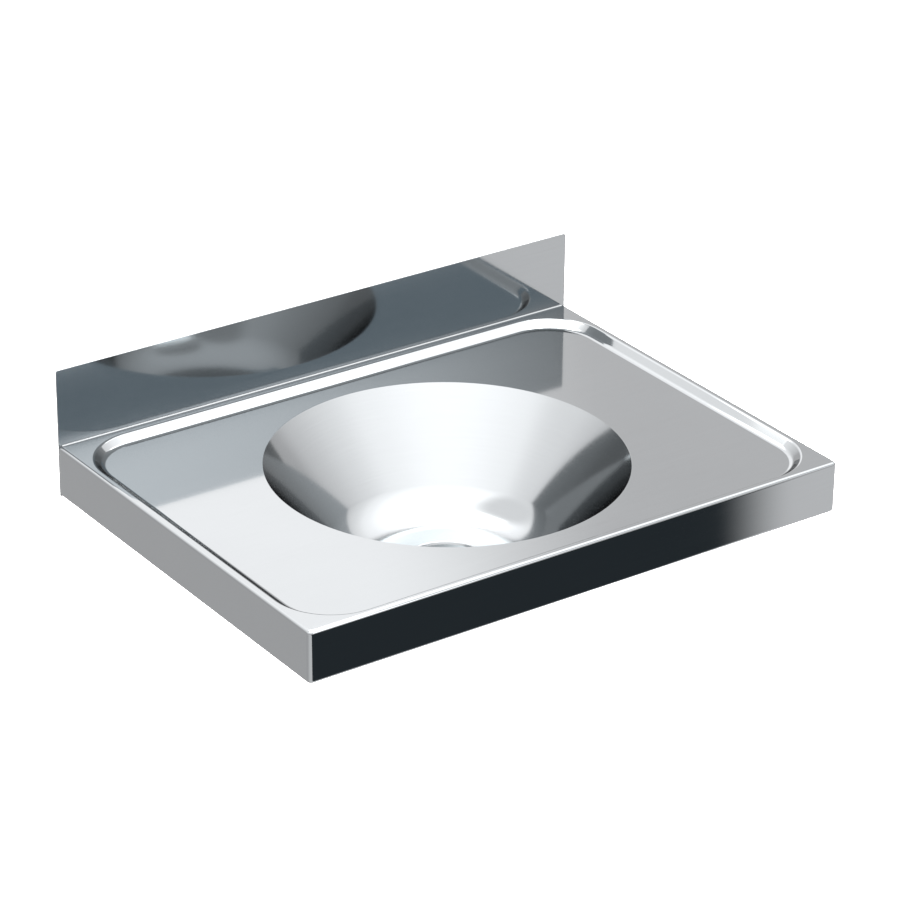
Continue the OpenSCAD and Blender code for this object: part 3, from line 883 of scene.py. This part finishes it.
brightFixing = steelFinish("brightFixing", fixingLook)
sealRubber = rubberFinish("sealRubber", sealLook)
padRubber = rubberFinish("padRubber", padLook)
print("finishes made")

dressing = [
    (deckShell, "steel_sheet", satinSheet, "deck"),
    (splashPanel, "steel_sheet", satinSheet, "splashback"),
    (bowlShell, "bowl_steel", satinBowl, "bowl"),
    (mouthSeam, "bowl_steel", satinBowl, None),
    (gridPlate, "polished_steel", polishedGrid, "waste_grid"),
    (gridScrew, "polished_steel", polishedGrid, "waste_screw"),
    (topSeal, "seal_rubber", sealRubber, "waste_seal_top"),
    (lowSeal, "seal_rubber", sealRubber, "waste_seal_bottom"),
    (wasteTail, "plated_brass", platedBrass, "waste_body"),
    (dampingPad, "damping_rubber", padRubber, "damping_pad"),
    (studSet, "fixing_steel", brightFixing, "weld_studs"),
    (washerSet, "fixing_steel", brightFixing, "bracket_washers"),
    (nutSet, "fixing_steel", brightFixing, "bracket_nuts"),
    (bracketLeft, "plain_steel", millSteel, "bracket_left"),
    (bracketRight, "plain_steel", millSteel, "bracket_right"),
    (plateLeft, "plain_steel", millSteel, "stud_plate_left"),
    (plateRight, "plain_steel", millSteel, "stud_plate_right"),
    (tagPiece, "plain_steel", millSteel, "bonding_tag")]
for piece, slotName, material, node in dressing:
    piece.data.materials.clear()
    piece.data.materials.append(material)
    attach(piece, "root")
    if node:
        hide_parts(node)
print("pieces dressed")


# Studio, in metres: camera, floor, cards, lamps and the soft surroundings that the steel mirrors

cameraSizes = {"turn": -35.129, "lift": 26.366, "roll": 0.601, "distance": 3.077149,
    "target": (0.002715, -0.1875, 0.003046), "lens": 151.766, "sensor": 36, "clipEnd": 50}


def placeCamera():
    s = cameraSizes
    turn, lift, roll = (math.radians(s[k]) for k in ("turn", "lift", "roll"))
    back = Vector((math.sin(turn) * math.cos(lift), -math.cos(turn) * math.cos(lift), math.sin(lift)))
    right = Vector((math.cos(turn), math.sin(turn), 0))
    up = back.cross(right)
    across = right * math.cos(roll) + up * math.sin(roll)
    above = up * math.cos(roll) - right * math.sin(roll)
    data = bpy.data.cameras.new("photoCamera")
    data.lens = s["lens"]
    data.sensor_width = s["sensor"]
    data.clip_end = s["clipEnd"]
    camera = bpy.data.objects.new("photoCamera", data)
    bpy.context.scene.collection.objects.link(camera)
    pose = Matrix((across, above, back)).transposed().to_4x4()
    pose.translation = Vector(s["target"]) + back * s["distance"]
    camera.matrix_world = pose
    bpy.context.scene.camera = camera


placeCamera()

floorSizes = {"height": -0.85, "size": 14, "tone": 0.86, "roughness": 0.9, "gloss": 0.1}


def mixClear(tree, share, shader):      # the surface gives way to clear with share
    clear = tree.nodes.new("ShaderNodeBsdfTransparent")
    mix = tree.nodes.new("ShaderNodeMixShader")
    tree.links.new(share, mix.inputs["Fac"])
    tree.links.new(shader.outputs[0], mix.inputs[1])
    tree.links.new(clear.outputs[0], mix.inputs[2])
    tree.links.new(mix.outputs[0], tree.nodes["Material Output"].inputs["Surface"])


def layFloor():      # seen from below it is clear, so that it never hides the basin
    s = floorSizes
    clearAll()
    bpy.ops.mesh.primitive_plane_add(size=s["size"], location=(0, 0, s["height"]))
    floor = settle(bpy.context.object, "studioFloor")
    material, tree, shader = newFinish("paleFloor")
    shader.inputs["Base Color"].default_value = (s["tone"], s["tone"], s["tone"], 1)
    shader.inputs["Roughness"].default_value = s["roughness"]
    shader.inputs["Specular IOR Level"].default_value = s["gloss"]
    facing = tree.nodes.new("ShaderNodeNewGeometry")
    mixClear(tree, facing.outputs["Backfacing"], shader)
    floor.data.materials.append(material)
    floor.visible_glossy = False


layFloor()

cardSizes = {"from": (0.267, -0.375, -0.022), "along": (0.5156, -0.7328, -0.4441), "away": 0.45,
    "width": 1.6, "above": 0.18, "below": 0.32, "fade": 0.075, "tone": (0.035, 0.043, 0.049)}
screenSizes = {"left": 0.02, "right": 0.76, "y": -0.6, "thick": 0.002, "low": 0.228, "high": 0.334,
    "tone": (0.46, 0.525, 0.575)}
softboxSizes = {"place": (0.16, 0.085, 0.42), "width": 0.36, "depth": 0.22, "fade": 0.06,
    "tone": (4.6, 4.5, 4.4)}


def cardFinish(name, tone, end=None, side=None, fade=0):      # may fade out to its +X end and sides
    material, tree, shader = newFinish(name)
    tree.nodes.remove(shader)
    glow = tree.nodes.new("ShaderNodeEmission")
    glow.inputs["Color"].default_value = (*tone, 1)
    if end is None:
        tree.links.new(glow.outputs[0], tree.nodes["Material Output"].inputs["Surface"])
        return material
    coords = tree.nodes.new("ShaderNodeTexCoord")
    split = tree.nodes.new("ShaderNodeSeparateXYZ")
    tree.links.new(coords.outputs["Object"], split.inputs[0])
    share = split.outputs[0]
    if side is not None:      # all four edges fade, each over the same distance
        over = mathNode(tree, "ADD", mathNode(tree, "ABSOLUTE", split.outputs[1]), end - side)
        share = mathNode(tree, "MAXIMUM", mathNode(tree, "ABSOLUTE", share), over)
    mixClear(tree, rangeNode(tree, share, end - fade, end, kind="SMOOTHSTEP"), glow)
    return material


def flatCard(name, width, depth):      # a card that still lies flat at the origin
    clearAll()
    bpy.ops.mesh.primitive_plane_add(size=1, location=(0, 0, 0))
    card = bpy.context.object
    card.scale = (width, depth, 1)
    return settle(card, name)


def hideCard(card, finish):      # only the steel sees it
    card.data.materials.append(finish)
    card.visible_camera = False
    card.visible_shadow = False
    card.visible_diffuse = False


def hangCard():      # a dark card low in front, which only the front apron mirrors
    s = cardSizes
    along = Vector(s["along"]).normalized()
    side = Vector((-along.y, along.x, 0)).normalized()      # towards the right of the basin
    above = along.cross(side).normalized()
    # its right end lies on the ray that the apron's plane mirrors at from, in the direction along
    edge = Vector(s["from"]) + along * s["away"]
    card = flatCard("darkCard", s["width"], s["above"] + s["below"])
    middle = edge - side * s["width"] / 2 + above * (s["above"] - s["below"]) / 2
    turned = Matrix((side, above, side.cross(above))).transposed().to_4x4()
    card.matrix_world = Matrix.Translation(middle) @ turned
    hideCard(card, cardFinish("cardBlack", s["tone"], s["width"] / 2, fade=s["fade"]))


def hangScreen():      # a grey screen in front, which the splashback sees by way of the deck
    s = screenSizes
    screen = block("greyScreen", [v / mm for v in (s["left"], s["y"] - s["thick"], s["low"])],
        [v / mm for v in (s["right"], s["y"], s["high"])])
    hideCard(screen, cardFinish("screenGrey", s["tone"]))


def hangSoftbox():      # a small bright box above the basin's back, which the bowl's floor sees
    s = softboxSizes
    softbox = flatCard("softbox", s["width"], s["depth"])
    softbox.location = s["place"]
    hideCard(softbox, cardFinish("softboxWhite", s["tone"], s["width"] / 2, s["depth"] / 2, s["fade"]))


hangCard()
hangScreen()
hangSoftbox()

lampSizes = {
    "overheadLamp": {"place": (-0.6, -0.8, 3.2), "aim": (0, 0, -0.85), "size": 4.0, "power": 420},
    "floorLamp": {"place": (2.4, 2.6, 2.6), "aim": (2.2, 3.0, -0.85), "size": 4.0, "power": 380}}


def hangLamp(name, s):
    data = bpy.data.lights.new(name, "AREA")
    data.size = s["size"]
    data.energy = s["power"]
    lamp = bpy.data.objects.new(name, data)
    bpy.context.scene.collection.objects.link(lamp)
    lamp.location = s["place"]
    lamp.rotation_euler = (Vector(s["aim"]) - Vector(s["place"])).to_track_quat("-Z", "Y").to_euler()
    lamp.visible_glossy = False
    lamp.visible_camera = False


for lampName, values in lampSizes.items():
    hangLamp(lampName, values)

skyTones = {
    "front": [(0.0, 0.72), (0.105, 0.75), (0.208, 0.82), (0.292, 1.1), (0.358, 1.22), (0.423, 1.35),
        (0.485, 1.5), (0.545, 1.62), (0.588, 1.75), (0.643, 1.98), (0.707, 2.12), (0.766, 2.35),
        (0.9, 2.7), (1.0, 2.7)],
    "most": 3, "ground": 1.04, "groundLeft": 0.71, "horizon": -0.14, "back": 0.94, "box": 1.85,
    "glow": 4.8, "leftSide": 1.5, "overhead": 9.5, "overheadDeeper": 0.12, "deeper": 0.52,
    "tint": (1.0, 0.965, 0.955)}
skyPlaces = {      # turn from +Y towards +X, lift, and the degrees of full and of no effect
    "leftSide": (-45, 53, 12, 27), "overhead": (35, 67, 12, 20), "glow": (154, 25, 2, 11),
    "box": (-10, 27, 38.6, 42.6), "back": (36, 27, 15, 24), "groundLeft": (-36, -26, 30, 80)}


# Pale below and brighter with height, with a dull patch high at the left, a bright one overhead, a
# glow low in front and a patch behind whose left part is a soft box. Further reflections are dimmer
def makeSurroundings():
    t = skyTones
    world = bpy.data.worlds.new("studio")
    bpy.context.scene.world = world
    world.use_nodes = True
    tree = world.node_tree
    coords = tree.nodes.new("ShaderNodeTexCoord")
    split = tree.nodes.new("ShaderNodeSeparateXYZ")
    tree.links.new(coords.outputs["Generated"], split.inputs[0])

    def towards(patch):      # 1 in the middle of the patch, 0 outside it
        turn, lift, full, none = (math.radians(v) for v in skyPlaces[patch])
        dot = tree.nodes.new("ShaderNodeVectorMath")
        dot.operation = "DOT_PRODUCT"
        tree.links.new(coords.outputs["Generated"], dot.inputs[0])
        dot.inputs[1].default_value = (math.sin(turn) * math.cos(lift),
            math.cos(turn) * math.cos(lift), math.sin(lift))
        return rangeNode(tree, dot.outputs["Value"], math.cos(none), math.cos(full),
            kind="SMOOTHSTEP")

    def blend(a, b, share):
        node = tree.nodes.new("ShaderNodeMix")
        node.data_type = "FLOAT"
        tree.links.new(share, node.inputs["Factor"])
        for slot, value in ((2, a), (3, b)):
            if isinstance(value, (int, float)):
                node.inputs[slot].default_value = value
            else:
                tree.links.new(value, node.inputs[slot])
        return node.outputs[0]

    path = tree.nodes.new("ShaderNodeLightPath")
    further = mathNode(tree, "SUBTRACT", path.outputs["Glossy Depth"], 1)
    deeper = mathNode(tree, "MAXIMUM", further, 0)
    overheadFall = mathNode(tree, "POWER", t["overheadDeeper"], deeper)
    overhead = mathNode(tree, "MULTIPLY", overheadFall, t["overhead"])
    ramp = tree.nodes.new("ShaderNodeValToRGB")
    for place, tone in t["front"][:-2]:
        ramp.color_ramp.elements.new(place)
    for element, (place, tone) in zip(ramp.color_ramp.elements, t["front"]):
        element.position = place
        element.color = [tone / t["most"]] * 3 + [1]
    tree.links.new(split.outputs[2], ramp.inputs["Fac"])
    sky = mathNode(tree, "MULTIPLY", ramp.outputs["Color"], t["most"])
    sky = blend(sky, t["leftSide"], towards("leftSide"))
    sky = blend(sky, overhead, towards("overhead"))
    sky = blend(sky, t["glow"], towards("glow"))
    sky = blend(sky, blend(t["back"], t["box"], towards("box")), towards("back"))
    ground = blend(t["ground"], t["groundLeft"], towards("groundLeft"))
    rise = rangeNode(tree, split.outputs[2], t["horizon"], 0.0, kind="SMOOTHSTEP")
    fall = mathNode(tree, "POWER", t["deeper"], deeper)
    mirrored = mathNode(tree, "MULTIPLY", blend(ground, sky, rise), fall)
    shown = blend(mirrored, 1.0, path.outputs["Is Camera Ray"])      # the camera itself sees white
    tint = tree.nodes.new("ShaderNodeMix")
    tint.data_type = "RGBA"
    tint.inputs[6].default_value = (*t["tint"], 1)
    tint.inputs[7].default_value = (1, 1, 1, 1)
    tree.links.new(path.outputs["Is Camera Ray"], tint.inputs["Factor"])
    background = tree.nodes["Background"]
    tree.links.new(tint.outputs[2], background.inputs["Color"])
    tree.links.new(shown, background.inputs["Strength"])


makeSurroundings()
bpy.context.scene.view_settings.view_transform = "Standard"

print("studio set")
